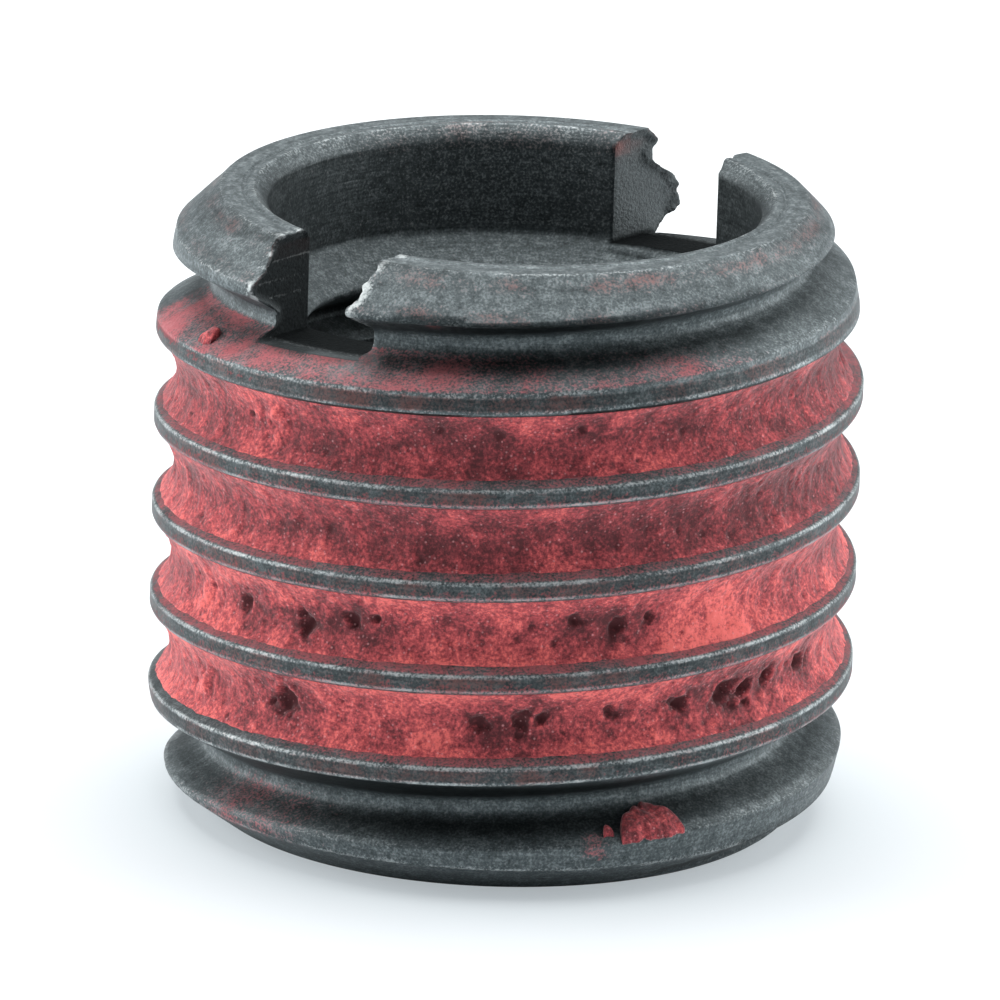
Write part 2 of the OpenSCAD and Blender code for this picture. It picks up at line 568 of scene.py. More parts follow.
@dataclass(frozen=True)
class BlackOxideSteel(Finish):
    """Turned carbon steel with a hot black oxide: matt dark grey, mottled, with fine
    turning lines, brighter where edges have rubbed, and red dust of the compound."""

    name: str = "black_oxide_steel_turned"
    masks: tuple[Mask, ...] = (Mask.WORN_AND_PAINTED_LIGHT, Mask.DUST, Mask.RUST, Mask.DARK_AND_PAINTED_SHADE)
    dark: str = "31383a"
    middle: str = "50585a"
    light: str = "7b8385"
    bare: str = "c3c9c9"
    rust: str = "80504c"
    dust: str = "b0555b"
    roughness: float = 0.55
    metallic: float = 0.55
    line_spacing: float = 0.09
    mottle_size: float = 0.3
    grain_size: float = 0.07
    bump: float = 0.45
    relief: float = 0.02

    def surface(self, tree: bpy.types.NodeTree, place: Socket, masks: Masks) -> Socket:
        """Mottle, grain and turning lines make the steel; rust, wear and dust lie on it; painted shade
        darkens it.

        The lines are noise of the direction from the axis and of height + 0.6 radius in
        line spacings, so that they run round every turned face.

        Args:
            tree: the material's tree.
            place: object coordinates.
            masks: the finish's masks, by name.

        Returns:
            The shader.
        """
        level = add(tree, "VectorMath", {0: place, 1: (1, 1, 0)}, operation="MULTIPLY")
        rim = add(tree, "VectorMath", {0: level}, operation="NORMALIZE")
        radius = add(tree, "VectorMath", {0: level}, "Value", operation="LENGTH")
        height = add(tree, "SeparateXYZ", {0: place}, "Z")
        depth = add(tree, "Math", {0: radius, 1: 0.6, 2: height}, operation="MULTIPLY_ADD")
        lift = add(tree, "CombineXYZ", {"Z": depth})
        lift = add(tree, "VectorMath", {0: lift, "Scale": 1 / (self.line_spacing * MM)}, operation="SCALE")
        lathe = add(tree, "VectorMath", {0: rim, 1: (5, 5, 5), 2: lift}, operation="MULTIPLY_ADD")
        lines = add(tree, "TexNoise", {"Vector": lathe, "Scale": 1.0, "Detail": 2.0})
        mottle, grain = (
            add(tree, "TexNoise", {"Vector": place, "Scale": 1 / (size * MM), "Detail": detail,
                                   "Roughness": fine})
            for size, detail, fine in ((self.mottle_size, 4.0, 0.65), (self.grain_size, 2.0, 0.6)))
        mixed = mottle
        for layer, share in ((lines, 0.5), (grain, 1.3)):
            mixed = add(tree, "Math", {0: layer, 1: share, 2: mixed}, operation="MULTIPLY_ADD")
        mixed = add(tree, "Math", {0: mixed, 1: 0.357}, operation="MULTIPLY")
        colour = add(tree, "ValToRGB", {0: mixed}, stops=[
            (0.36, linear(self.dark)), (0.5, linear(self.middle)), (0.64, linear(self.light))])
        shown = {}
        for mask, code, cover, gain, share in (
                (Mask.RUST, self.rust, 0.6, 3.0, 0.75), (Mask.WORN_AND_PAINTED_LIGHT, self.bare, 0.75, 2.0, 0.8),
                (Mask.DUST, self.dust, 0.62, 3.5, 0.75)):
            shown[mask] = self.broken(tree, masks[mask], grain, cover, 0.72, gain)
            amount = add(tree, "Math", {0: shown[mask], 1: share}, operation="MULTIPLY")
            colour = add(tree, "Mix", {0: amount, 6: colour, 7: linear(code)}, 2, data_type="RGBA")
        # The dark mask darkens the colour: dull crest bands, and painted shade in the counterbore and bare
        # grooves
        colour = self.shaded(tree, colour, masks[Mask.DARK_AND_PAINTED_SHADE], 0.85)
        metal, dull = (
            add(tree, "Math", {0: shown[Mask.DUST], 1: change, 2: clean}, operation="MULTIPLY_ADD",
                use_clamp=True)
            for change, clean in ((-self.metallic, self.metallic), (0.4, self.roughness)))
        metal = add(tree, "Math", {0: masks[Mask.DARK_AND_PAINTED_SHADE], 1: 0.45, 2: metal}, operation="MULTIPLY_ADD",
                    use_clamp=True)
        uneven = add(tree, "Math", {0: grain, 1: 0.3, 2: lines}, operation="MULTIPLY_ADD")
        relief = add(tree, "Bump", {"Height": uneven, "Strength": self.bump, "Distance": self.relief * MM})
        return add(tree, "BsdfPrincipled", {
            "Base Color": colour, "Metallic": metal, "Roughness": dull, "Normal": relief})


@dataclass(frozen=True)
class SlotSteel(Finish):
    """The same steel on the milled slot: darker and grainier, with a few long scratches
    and a torn bright lip along its outer edges."""

    name: str = "black_oxide_steel_milled"
    masks: tuple[Mask, ...] = (Mask.WORN_AND_PAINTED_LIGHT, Mask.RUST, Mask.DARK_AND_PAINTED_SHADE)
    dark: str = "14181a"
    light: str = "5c6466"
    bare: str = "aeb3b4"
    rust: str = "7c4a46"
    roughness: float = 0.6
    metallic: float = 0.5
    grain_size: float = 0.09
    bump: float = 0.8
    relief: float = 0.05

    def surface(self, tree: bpy.types.NodeTree, place: Socket, masks: Masks) -> Socket:
        """Grain makes the steel; torn bright metal and rust lie on it.

        In its dark places, which are painted shade, it is darker, all metal and matt, and gives back next to
        nothing.

        Args:
            tree: the material's tree.
            place: object coordinates.
            masks: the finish's masks, by name.

        Returns:
            The shader.
        """
        grain = add(tree, "TexNoise", {"Vector": place, "Scale": 1 / (self.grain_size * MM), "Detail": 3.0,
                                       "Roughness": 0.6})
        colour = add(tree, "Mix", {0: grain, 6: linear(self.dark), 7: linear(self.light)}, 2,
                     data_type="RGBA")
        torn = self.broken(tree, masks[Mask.WORN_AND_PAINTED_LIGHT], grain, 0.8, 0.75, 2.5)
        for amount, code in ((torn, self.bare), (masks[Mask.RUST], self.rust)):
            colour = add(tree, "Mix", {0: amount, 6: colour, 7: linear(code)}, 2, data_type="RGBA")
        # Painted shade on the slot's floor and the front half of its left wall
        colour = self.shaded(tree, colour, masks[Mask.DARK_AND_PAINTED_SHADE], 0.8)
        metal, dull = (
            add(tree, "Math", {0: masks[Mask.DARK_AND_PAINTED_SHADE], 1: most - least, 2: least}, operation="MULTIPLY_ADD")
            for least, most in ((self.metallic, 1.0), (self.roughness, 0.95)))
        relief = add(tree, "Bump", {"Height": grain, "Strength": self.bump, "Distance": self.relief * MM})
        return add(tree, "BsdfPrincipled", {
            "Base Color": colour, "Metallic": metal, "Roughness": dull, "Normal": relief})


@dataclass(frozen=True)
class DriedCompound(Finish):
    """Methacrylate thread-locking compound, dried to a grainy red crust: coral where it
    is thick and clean, maroon in its pores and where steel shows through."""

    name: str = "red_locking_compound_dried"
    masks: tuple[Mask, ...] = (Mask.TONE, Mask.PIT)
    pore: str = "4c1a1f"
    deep: str = "742c32"
    middle: str = "aa4348"
    light: str = "e66b66"
    dust: str = "eeaaac"
    roughness: float = 0.85
    bloom: float = 0.25
    grain_size: float = 0.1
    speck_size: float = 0.075
    bump: float = 0.45
    relief: float = 0.05

    def surface(self, tree: bpy.types.NodeTree, place: Socket, masks: Masks) -> Socket:
        """Grain and tone choose the red; some cells carry a pale speck in their middle.

        Args:
            tree: the material's tree.
            place: object coordinates.
            masks: the finish's masks, by name.

        Returns:
            The shader.
        """
        grain = add(tree, "TexNoise", {"Vector": place, "Scale": 1 / (self.grain_size * MM), "Detail": 4.0,
                                       "Roughness": 0.7})
        cells, specks = (
            add(tree, "TexVoronoi", {"Vector": place, "Scale": 1 / (size * 1.6 * MM)}, "Distance")
            for size in (self.grain_size, self.speck_size))
        pick = add(tree, "SeparateXYZ", {0: specks.node.outputs["Color"]}, "X")
        value = masks[Mask.TONE]
        for layer, share in ((grain, 1.8), (masks[Mask.PIT], -0.38)):
            value = add(tree, "Math", {0: layer, 1: share, 2: value}, operation="MULTIPLY_ADD")
        value = add(tree, "Math", {0: value, 1: 0.77}, operation="SUBTRACT")
        colour = add(tree, "ValToRGB", {0: value}, stops=[
            (0.05, linear(self.pore)), (0.32, linear(self.deep)), (0.58, linear(self.middle)),
            (0.9, linear(self.light))])
        pale = add(tree, "Math", {0: pick, 1: 0.5, 2: -0.12}, operation="MULTIPLY_ADD")
        pale = add(tree, "Math", {0: pale, 1: specks}, operation="SUBTRACT")
        pale = add(tree, "Math", {0: pale, 1: 1.5}, operation="MULTIPLY", use_clamp=True)
        colour = add(tree, "Mix", {0: pale, 6: colour, 7: linear(self.dust)}, 2, data_type="RGBA")
        height = add(tree, "Math", {0: cells, 1: 0.5, 2: grain}, operation="MULTIPLY_ADD")
        relief = add(tree, "Bump", {"Height": height, "Strength": self.bump, "Distance": self.relief * MM})
        return add(tree, "BsdfPrincipled", {
            "Base Color": colour, "Roughness": self.roughness, "Normal": relief,
            "Sheen Weight": self.bloom, "Sheen Roughness": 0.4})


@dataclass(frozen=True)
class WhiteTable(Finish):
    """A wide matt white table that keeps the shadow and shows almost white."""

    name: str = "white_table"
    masks: tuple[Mask, ...] = ()
    paint: str = "e9eff2"
    # near is a painted shadow: the glow's greyer blue round the insert
    near: str = "dfe7ec"
    far: str = "ffffff"
    roughness: float = 0.8
    painted_shadow_reach: float = 28.0

    def surface(self, tree: bpy.types.NodeTree, place: Socket, masks: Masks) -> Socket:
        """Paint, with half of it a glow for the camera: a painted shadow near the insert that whitens
        outwards.

        Args:
            tree: the material's tree.
            place: object coordinates.
            masks: the finish's masks, by name.

        Returns:
            The shader.
        """
        paint = add(tree, "BsdfPrincipled", {"Base Color": linear(self.paint), "Roughness": self.roughness})
        away = add(tree, "VectorMath", {0: place}, "Value", operation="LENGTH")
        away = add(tree, "Math", {0: away, 1: self.painted_shadow_reach * MM}, operation="DIVIDE")
        # Painted shadow: greyer blue near the insert, white beyond the reach.
        tint = add(tree, "ValToRGB", {0: away}, stops=[(0.3, linear(self.near)), (1.0, linear(self.far))])
        glow = add(tree, "Emission", {"Color": tint, "Strength": 1.0})
        seen = add(tree, "LightPath", out="Is Camera Ray")
        share = add(tree, "Math", {0: seen, 1: 0.5}, operation="MULTIPLY")
        return add(tree, "MixShader", {0: share, 1: paint, 2: glow})


def new_object(name: str, mesh: Mesh, materials: list[bpy.types.Material],
               indices: Array | None = None) -> bpy.types.Object:
    """Makes a mesh object at the origin from points in millimetres.

    Args:
        name: the object's name.
        mesh: its points and triangles.
        materials: its material slots.
        indices: the slot of each triangle, or None for the first.

    Returns:
        The new object, smooth shaded.
    """
    points, faces = mesh
    data = bpy.data.meshes.new(name)
    data.from_pydata((points * MM).tolist(), [], faces.tolist())
    data.polygons.foreach_set("use_smooth", np.ones(len(data.polygons), bool))
    for material in materials:
        data.materials.append(material)
    if indices is not None:
        data.polygons.foreach_set("material_index", indices.astype(np.int32))
    data.update()
    thing = bpy.data.objects.new(name, data)
    bpy.context.scene.collection.objects.link(thing)
    return thing


def set_mask(thing: bpy.types.Object, mask: Mask, values: Array) -> None:
    """Writes one number for each point of a mesh as an attribute of the mask's name."""
    layer = thing.data.attributes.new(mask.value, "FLOAT", "POINT")
    layer.data.foreach_set("value", np.clip(values, 0, 1).astype(np.float32))


def points_of(thing: bpy.types.Object) -> Array:
    """The points of a mesh, in millimetres.

    Args:
        thing: a mesh object.

    Returns:
        Its points.
    """
    flat = np.empty(len(thing.data.vertices) * 3, np.float32)
    thing.data.vertices.foreach_get("co", flat)
    return flat.reshape(-1, 3).astype(float) / MM


@dataclass(frozen=True)
class DriverSlot:
    """The slot across the top: its walls, its sloping floor and the torn lips that the
    cutter left along the outer edges. The angle is in degrees."""

    angle: float = 50.8
    left: float = -1.74
    right: float = 1.88
    floor: float = 14.1
    fall: float = 0.3 / 18.95
    rise: float = 0.2 / 3.62
    reach: float = 10.3
    overshoot: float = 0.4
    spacing: float = 0.065
    wall_points: int = 50
    floor_points: int = 12

    def axes(self) -> tuple[Array, Array]:
        """Unit vectors along the slot and across it towards its right wall."""
        a = math.radians(self.angle)
        return np.array([math.cos(a), math.sin(a), 0]), np.array([math.sin(a), -math.cos(a), 0])

    def floor_height(self, along: Array, across: Array) -> Array:
        """Height of the floor: it falls along the slot and rises towards the right."""
        middle = (self.left + self.right) / 2
        return self.floor - along * self.fall + (across - middle) * self.rise

    def lip(self, points: Array, wall: HelicalWall, top: float) -> Array:
        """How near a point is to the outer surface or the top, 1 on them and 0 inside.

        Args:
            points: places in the steel.
            wall: the outer wall.
            top: height of the top face.

        Returns:
            exp(-(d / 0.2)^2) of the depth d below the surface.
        """
        angle = np.arctan2(points[..., 1], points[..., 0])
        height = np.minimum(points[..., 2], top - 0.01)
        depth = 0.75 * (wall.radius(angle, height) - np.hypot(points[..., 0], points[..., 1]))
        depth = np.minimum(depth, top - points[..., 2])
        return np.exp(-((np.maximum(depth, 0) / 0.2) ** 2))

    def cutter(self, wall: HelicalWall, top: float) -> Mesh:
        """The cutter: sections across the slot, joined along it, closed at both ends.

        A section runs down the left wall, over the floor and up the right wall. Near the
        outer surface each wall leans into the slot by a torn lip: a bell of the depth
        below that surface times noise.

        Args:
            wall: the outer wall.
            top: height of the top face.

        Returns:
            The cutter's points and triangles.
        """
        u, n = self.axes()
        ends = np.arange(6.0, 9.95, self.spacing)
        along = np.concatenate([[-self.reach], -ends[::-1], [-3.0, 0.0, 3.0], ends, [self.reach]])
        level = np.linspace(0, 1, self.wall_points)
        across = np.linspace(self.left, self.right, self.floor_points + 2)[1:-1]
        share = np.concatenate([1 - level, 0 * across, level])
        across = np.concatenate([0 * level + self.left, across, 0 * level + self.right])
        s, t = np.meshgrid(along, across, indexing="ij")
        base = self.floor_height(s, t)
        z = base + share * (top + self.overshoot - base)
        points = s[..., None] * u + t[..., None] * n + z[..., None] * np.array([0, 0, 1])
        size = np.clip(0.55 + 0.9 * rough(points, 0.45, 11), 0.08, 1.5)
        size *= np.where(s > 0, 0.2, np.where(t < 0, 0.3, 0.26))
        size += np.where(s < 0, 0.07, 0.02) * rough(points, 0.2, 12, 2)
        lean = self.lip(points, wall, top) * size + 0.006 * noise(points, 0.3, 13)
        inward = np.where(t <= self.left + 1e-9, 1.0, np.where(t >= self.right - 1e-9, -1.0, 0.0))
        return capped_tube(points + (inward * lean)[..., None] * n)


@dataclass(frozen=True)
class SteelInsert:
    """The turned, threaded and slotted steel piece, with the same sizes as its solid."""

    length: float = 16.9
    outer_radius: float = 9.475
    lead_in: float = 0.48
    top_lead: float = 2.55
    bottom_lead: float = 2.2
    top_chamfer: float = 1.15
    bottom_chamfer: float = 1.25
    bottom_chamfer_height: float = 0.9
    counterbore_radius: float = 6.6
    counterbore_height: float = 13.95
    rim_radius: float = 6.95
    rim_height: float = 0.33
    sink_radius: float = 6.55
    sink_angle: float = 35.0
    score_radius: float = 7.22
    score_depth: float = 0.045
    outer_span: tuple[float, float] = (0.15, 16.8)
    inner_span: tuple[float, float] = (0.1, 13.85)
    bottom_ring: tuple[float, float] = (7.35, 7.1)
    top_ring: tuple[float, float] = (7.6, 7.42)
    columns: int = 384
    counterbore_rows: int = 22
    outer: ThreadForm = ThreadForm(2.54, 9.475, 8.012, 0.3937, 298.1, 0.09)
    inner: ThreadForm = ThreadForm(1.954, 5.45, 6.35, 0.244, 40.0, 0.06)
    slot: DriverSlot = DriverSlot()

    @property
    def lead_radius(self) -> float:
        """Radius where the chamfers begin, after the slight tapers."""
        return self.outer_radius - self.lead_in

    def outer_envelope(self, height: Array) -> Array:
        """Radius of the blank: the least of two chamfer cones and two slight tapers.

        Args:
            height: height of each point.

        Returns:
            The radius.
        """
        up = height - self.bottom_chamfer_height
        down = self.length - self.top_chamfer - height
        taper = np.minimum(up * self.lead_in / self.bottom_lead, down * self.lead_in / self.top_lead)
        cone = np.minimum(up * self.bottom_chamfer / self.bottom_chamfer_height, down)
        return self.lead_radius + np.minimum(taper, cone)

    def inner_envelope(self, height: Array) -> Array:
        """Radius of the bore: the larger of the countersinks at its two ends.

        Args:
            height: height of each point.

        Returns:
            The radius.
        """
        slope = 1 / math.tan(math.radians(self.sink_angle))
        low = self.sink_radius - height * slope
        high = self.counterbore_radius - (self.counterbore_height - height) * slope
        return np.maximum(low, high)

    def outer_wall(self) -> HelicalWall:
        """The threaded outside between the levels where no groove reaches."""
        creases = (self.bottom_chamfer_height, self.length - self.top_chamfer)
        return HelicalWall(self.outer, self.outer_envelope, creases, *self.outer_span, self.columns, 4, True)

    def inner_wall(self) -> HelicalWall:
        """The threaded bore between its two countersinks, with half as many columns."""
        return HelicalWall(self.inner, self.inner_envelope, (), *self.inner_span, self.columns // 2, 2, False)

    def body(self) -> Mesh:
        """The closed body before the slot: walls, chamfers, end faces and counterbore.

        Returns:
            The points and triangles.
        """
        wall, bore = self.outer_wall(), self.inner_wall()
        n, top, score = self.columns, self.length, self.score_radius
        low, high = (float(wall.radius(np.zeros(1), np.array([v]))[0]) for v in self.outer_span)
        bore_low, bore_high = (float(bore.envelope(v)) for v in self.inner_span)
        (wide, narrow), (outer, inner) = self.bottom_ring, self.top_ring
        foot = [[low, wall.low], [self.lead_radius - self.bottom_chamfer, 0.0], [wide, 0.0]]
        sink = [[narrow, 0.0], [self.sink_radius, 0.0], [bore_low, bore.low]]
        crown = [[high, wall.high], [self.lead_radius - self.top_chamfer, top], [outer, top]]
        scored = [[score + step, top - sunk] for step, sunk in (
            (0.08, 0.0), (0.03, self.score_depth), (-0.03, self.score_depth), (-0.08, 0.0))]
        levels = np.linspace(top - self.rim_height, self.counterbore_height, self.counterbore_rows)
        mouth = [[inner, top], *scored, [self.rim_radius, top], [self.counterbore_radius, levels[0]]]
        shaft = np.stack([np.full_like(levels, self.counterbore_radius), levels], -1)[1:]
        mouth = np.concatenate([softened(np.array(mouth), 0.05), shaft, [[bore_high, bore.high]]])
        return joined([
            wall.build(), bore.build(),
            turned(softened(np.array(foot), 0.08), n, False), halved((wide, 0.0), (narrow, 0.0), n, False),
            turned(softened(np.array(sink), 0.06), n // 2, False),
            turned(softened(np.array(crown), 0.1), n, True), halved((outer, top), (inner, top), n, True),
            turned(mouth, n // 2, True)])

    def cut(self, mesh: Mesh, materials: list[bpy.types.Material]) -> bpy.types.Object:
        """Cuts the slot out of the body, and its faces take the milled finish.

        Args:
            mesh: the closed body.
            materials: the turned and the milled finish.

        Returns:
            The steel piece.
        """
        body = new_object("steel_insert", mesh, materials)
        tool_mesh = self.slot.cutter(self.outer_wall(), self.length)
        tool = new_object("slot_cutter", tool_mesh, materials, np.ones(len(tool_mesh[1])))
        cut = body.modifiers.new("slot", "BOOLEAN")
        cut.operation, cut.solver, cut.object = "DIFFERENCE", "MANIFOLD", tool
        graph = bpy.context.evaluated_depsgraph_get()
        done = bpy.data.meshes.new_from_object(body.evaluated_get(graph))
        body.modifiers.clear()
        old = body.data
        body.data = done
        bpy.data.meshes.remove(old)
        bpy.data.objects.remove(tool)
        return body

    def make(self) -> bpy.types.Object:
        """Builds, cuts and dresses the steel piece.

        Returns:
            The steel piece.
        """
        thing = self.cut(self.body(), [BlackOxideSteel().make(), SlotSteel().make()])
        places = SteelPlaces(self, points_of(thing))
        set_mask(thing, Mask.WORN_AND_PAINTED_LIGHT, places.worn())
        set_mask(thing, Mask.DUST, places.dust())
        set_mask(thing, Mask.RUST, places.rust())
        set_mask(thing, Mask.DARK_AND_PAINTED_SHADE, places.dark())
        return thing


class SteelPlaces:
    """Where wear, dust, rust tint, dark steel and painted shade and light lie on the points of the steel
    mesh.

    A place is told by its height z, its radius, its direction in degrees (270 faces the
    camera), the distance across the thread from the groove's middle, and the distances s
    along the slot towards the back and t across it.
    """

    def __init__(self, steel: SteelInsert, points: Array) -> None:
        """Works out what all the masks ask of a point.

        Args:
            steel: the insert.
            points: the points of its mesh.
        """
        form, slot, wall = steel.outer, steel.slot, steel.outer_wall()
        self.steel, self.form, self.points, self.top = steel, form, points, steel.length
        self.angle, self.radius = np.arctan2(points[:, 1], points[:, 0]), np.hypot(points[:, 0], points[:, 1])
        self.z, self.degrees = points[:, 2], np.degrees(self.angle) % 360
        self.across = form.across(self.angle, self.z)
        thread, limit = form.radius(self.across), steel.outer_envelope(self.z)
        self.over, self.skin = thread - limit, np.minimum(thread, limit)
        self.outside = (self.skin - self.radius < 0.07) * (self.radius > 7.7)
        self.crest = np.abs(self.across) > form.crest_edge
        self.flank = (self.across < -form.root_flat / 2) * (self.over < 0.05) * self.outside
        self.filled = step_up(self.z, 3.4, 3.9) * step_up(self.z, 13.3, 12.9)
        self.far = bump_at(self.degrees, 90, 45)
        u, n = slot.axes()
        self.t, self.s = points @ n, points @ u
        self.floor = slot.floor_height(self.s, self.t)
        self.above = self.z > self.floor - 0.05
        self.near = np.minimum(np.abs(self.t - slot.left - 0.15), np.abs(self.t - slot.right + 0.1))
        self.left_face = np.abs(self.t - slot.left) < 0.02
        self.lips = slot.lip(points, wall, self.top) * self.above * (self.radius > 6.9)
        self.lips *= np.exp(-((self.near / 0.3) ** 2)) * np.where(self.s > 0, 0.5, 1.0)

    def worn(self) -> Array:
        """Bare metal on crest and chamfer edges, rim, torn lips, slot and foot, and painted light in the
        counterbore.

        Returns:
            One number for each point.
        """
        p, z, radius, form, steel = self.points, self.z, self.radius, self.form, self.steel
        beside = np.abs(self.across)
        worn = self.outside * (self.skin > 8.5) * bump_at(beside, form.crest_edge + 0.02, 0.05)
        worn *= (self.over < 0.15) * (1 - 0.3 * step_up(z, 12.6, 13.0))
        run_out = 0.35 * bump_at(self.over, 0, 0.06) * self.outside * (beside < form.crest_edge - 0.05)
        edges = bells(z, (self.top - steel.top_chamfer, 0.05, 0.6), (steel.bottom_chamfer_height, 0.05, 0.8))
        edges *= (self.over > 0) * self.outside
        rim = 0.6 * (z > self.top - 0.4) * bells(radius, (steel.rim_radius, 0.06, 1.0), (7.845, 0.06, 0.8))
        worn = np.maximum.reduce([worn, run_out, edges, rim]) * (0.62 + 0.5 * rough(p, 0.7, 31))
        torn = self.lips**2 * np.clip(0.5 + 2.2 * rough(p, 0.16, 33, 1), 0, 1.1)
        torn *= 0.25 + 0.75 * step_up(z, 14.9, 15.3)
        foot = 0.35 * bump_at(z, self.floor, 0.06) * (self.near < 1.6) * bump_at(radius, 8.0, 0.2)
        scratches = bells(z + 0.02 * self.s, (16.05, 0.04, 0.75), (15.5, 0.04, 0.75), (15.05, 0.04, 0.75))
        scratches *= self.left_face * (self.s < 0) * (0.8 + 0.6 * rough(p, 0.5, 32))
        # Painted light: a little bare metal colour lightens the counterbore's far wall
        painted_far_wall_light = 0.3 * (radius < 6.65) * (z > 14.1) * self.far
        return np.maximum.reduce([worn, torn, foot, scratches, painted_far_wall_light])

    def dust(self) -> Array:
        """Red dust beside the fill, heavy on the first flank in front, and in smears.

        Returns:
            One number for each point.
        """
        p, z, degrees, across = self.points, self.z, self.degrees, self.across
        strip = 0.6 + 0.15 * step_up(z, 9.0, 6.0) + 0.12 * np.cos(self.angle) ** 2 * step_up(z, 6.0, 9.0)
        strip *= (across < 0) * self.filled * self.outside * step_up(self.radius, 9.43, 9.38)
        first = self.flank * step_up(z, 12.9, 13.3) * step_up(z, 15.2, 14.4)
        first *= step_up(degrees, 176, 186) * step_up(degrees, 325, 300)
        clouds = 0.4 * rough(p, 0.9, 42)
        first *= 0.56 + bells(degrees, (202, 16, 0.14), (236, 12, 0.2), (262, 16, 0.1)) + clouds
        low = bells(degrees, (222, 16, 0.58))
        low += bells(degrees, (287, 2.5, 0.7)) * step_up(self.radius, 8.7, 8.95)
        low *= (z < 2.4) * (across < 0) * self.outside
        smear = bump_at(degrees, 257, 2) * bump_at(z, 15.6, 0.12) * (self.radius > 8.4) * self.outside
        under = 0.5 * (across > self.form.crest_edge - 0.18) * self.filled * self.outside
        dust = np.maximum.reduce([strip, first, low, smear, under])
        return dust * (0.85 + 0.5 * rough(p, 0.6, 41))

    def rust(self) -> Array:
        """Rust tint on the top chamfer, the far rim, the crests and the slot's left face.

        Returns:
            One number for each point.
        """
        z, top, radius = self.z, self.top, self.radius
        rust = (z > top - 1.2) * self.outside * (self.over > -0.02)
        rust = rust * bells(z, (top - 0.25, 0.25, 0.5), (top - 1.0, 0.25, 0.5))
        rust += 0.4 * (radius < 7.2) * (radius > 6.55) * (z > top - 0.6) * bump_at(self.degrees, 90, 50)
        rust += (0.42 + 0.22 * bump_at(self.degrees, 255, 45)) * self.outside * (radius > 9.2) * self.crest
        smeared = self.left_face * bump_at(z, top - 0.3, 0.3) * np.where(self.s < 0, 0.4, 1.0)
        rust += smeared * (0.3 + 0.5 * rough(self.points, 0.25, 52))
        return rust * (0.75 + 0.9 * rough(self.points, 0.8, 51))

    def dark(self) -> Array:
        """Dull dark steel on crest bands and a flank strip; painted shade in the counterbore, slot and bare
        grooves.

        Returns:
            One number for each point.
        """
        z, radius, across, form = self.z, self.radius, self.across, self.form
        # Painted shade in the bore, countersink and counterbore, less on the counterbore's far wall
        bore = 0.6 * (z <= 13) + 0.2 * (z > 13) * (z <= 14) + (0.5 - 0.4 * self.far) * step_up(z, 13.8, 14.1)
        bore *= radius < self.steel.rim_radius - 0.25
        strip = 0.22 * self.flank * (radius > 9.1) * (radius < 9.44) * (z < 13.2)
        band = 0.48 * self.outside * (radius > 9.2) * (np.abs(across) > form.crest_edge + 0.06)
        # Painted shade in the bare grooves beyond the fill: under the crest above (over) and on the flank
        # near the root (below), weaker at the sides
        bare = self.outside * np.maximum(step_up(z, 12.9, 13.4), step_up(z, 3.6, 3.1))
        bare *= 1 - 0.7 * np.cos(self.angle) ** 2
        over = bare * step_up(across, form.root_flat / 2 + 0.02, form.root_flat / 2 + 0.12)
        over *= (across < form.crest_edge - 0.04) * (self.over < 0.02)
        over *= 1 - step_up(z, 14.8, 15.3) * (1 - bump_at(self.degrees, 275, 50))
        below = 0.85 * bare * bump_at(across, -form.root_flat / 2 - 0.25, 0.17)
        slot = self.steel.slot
        cut = (self.t > slot.left - 0.05) * (self.t < slot.right + 0.05) * self.above * (radius > 5.4)
        # Painted shade on the slot's floor, less towards the outside, and on the front half of its left wall
        painted_floor_shade = cut * bump_at(z, self.floor, 0.1) * (1 - 0.75 * step_up(radius, 7.8, 8.35))
        painted_wall_shade = 0.66 * cut * (self.t < 0) * (self.s < 0) * (1 - 0.9 * self.lips)
        return np.maximum.reduce([bore, strip, band, over, below, painted_floor_shade, painted_wall_shade])


@dataclass(frozen=True)
class Spot:
    """A pore or lump of the compound: its angle in degrees, its height, its radius, and
    how far the face sinks there (or rises where it is negative)."""

    angle: float
    height: float
    radius: float
    sink: float

    def away(self, angle: Array, height: Array, uneven: Array) -> Array:
        """Distance on the face from the middle, over the radius, made uneven by noise.

        Args:
            angle: direction of each point.
            height: height of each point.
            uneven: noise from -1 to 1.

        Returns:
            0 in the middle and about 1 on the spot's edge.
        """
        turn = (angle - math.radians(self.angle) + math.pi) % TURN - math.pi
        away = np.hypot(turn * FACE_RADIUS, height - self.height) / self.radius
        return away * np.clip(1 + 0.9 * uneven, 0.5, 1.6)


# The largest pores, and after them the lumps, where the photograph shows them
SPOTS = (
    Spot(258.7, 12.88, 0.12, 0.12), Spot(268.8, 12.8, 0.1, 0.1), Spot(282.6, 12.99, 0.14, 0.12),
    Spot(221.1, 7.02, 0.17, 0.22), Spot(233.9, 7.22, 0.15, 0.2), Spot(235.0, 6.9, 0.19, 0.26),
    Spot(243.8, 7.38, 0.2, 0.22), Spot(248.4, 7.49, 0.15, 0.2), Spot(282.3, 7.8, 0.17, 0.22),
    Spot(290.2, 7.59, 0.2, 0.24), Spot(295.6, 7.71, 0.15, 0.2), Spot(231.2, 4.77, 0.34, 0.3),
    Spot(267.0, 4.89, 0.18, 0.24), Spot(273.6, 4.92, 0.22, 0.26), Spot(277.0, 5.06, 0.18, 0.22),
    Spot(289.0, 5.13, 0.17, 0.22), Spot(302.0, 5.18, 0.22, 0.24), Spot(311.4, 5.35, 0.28, 0.3),
    Spot(316.1, 5.2, 0.26, 0.3), Spot(322.6, 5.39, 0.2, 0.24), Spot(332.2, 5.38, 0.26, 0.26),
    Spot(226.8, 12.47, 0.3, -0.12), Spot(323.2, 9.58, 0.22, -0.1), Spot(209.0, 4.3, 0.3, -0.12),
    Spot(208.5, 6.8, 0.35, -0.1), Spot(312.0, 7.5, 0.9, -0.05), Spot(300.0, 7.2, 0.5, -0.04),
)


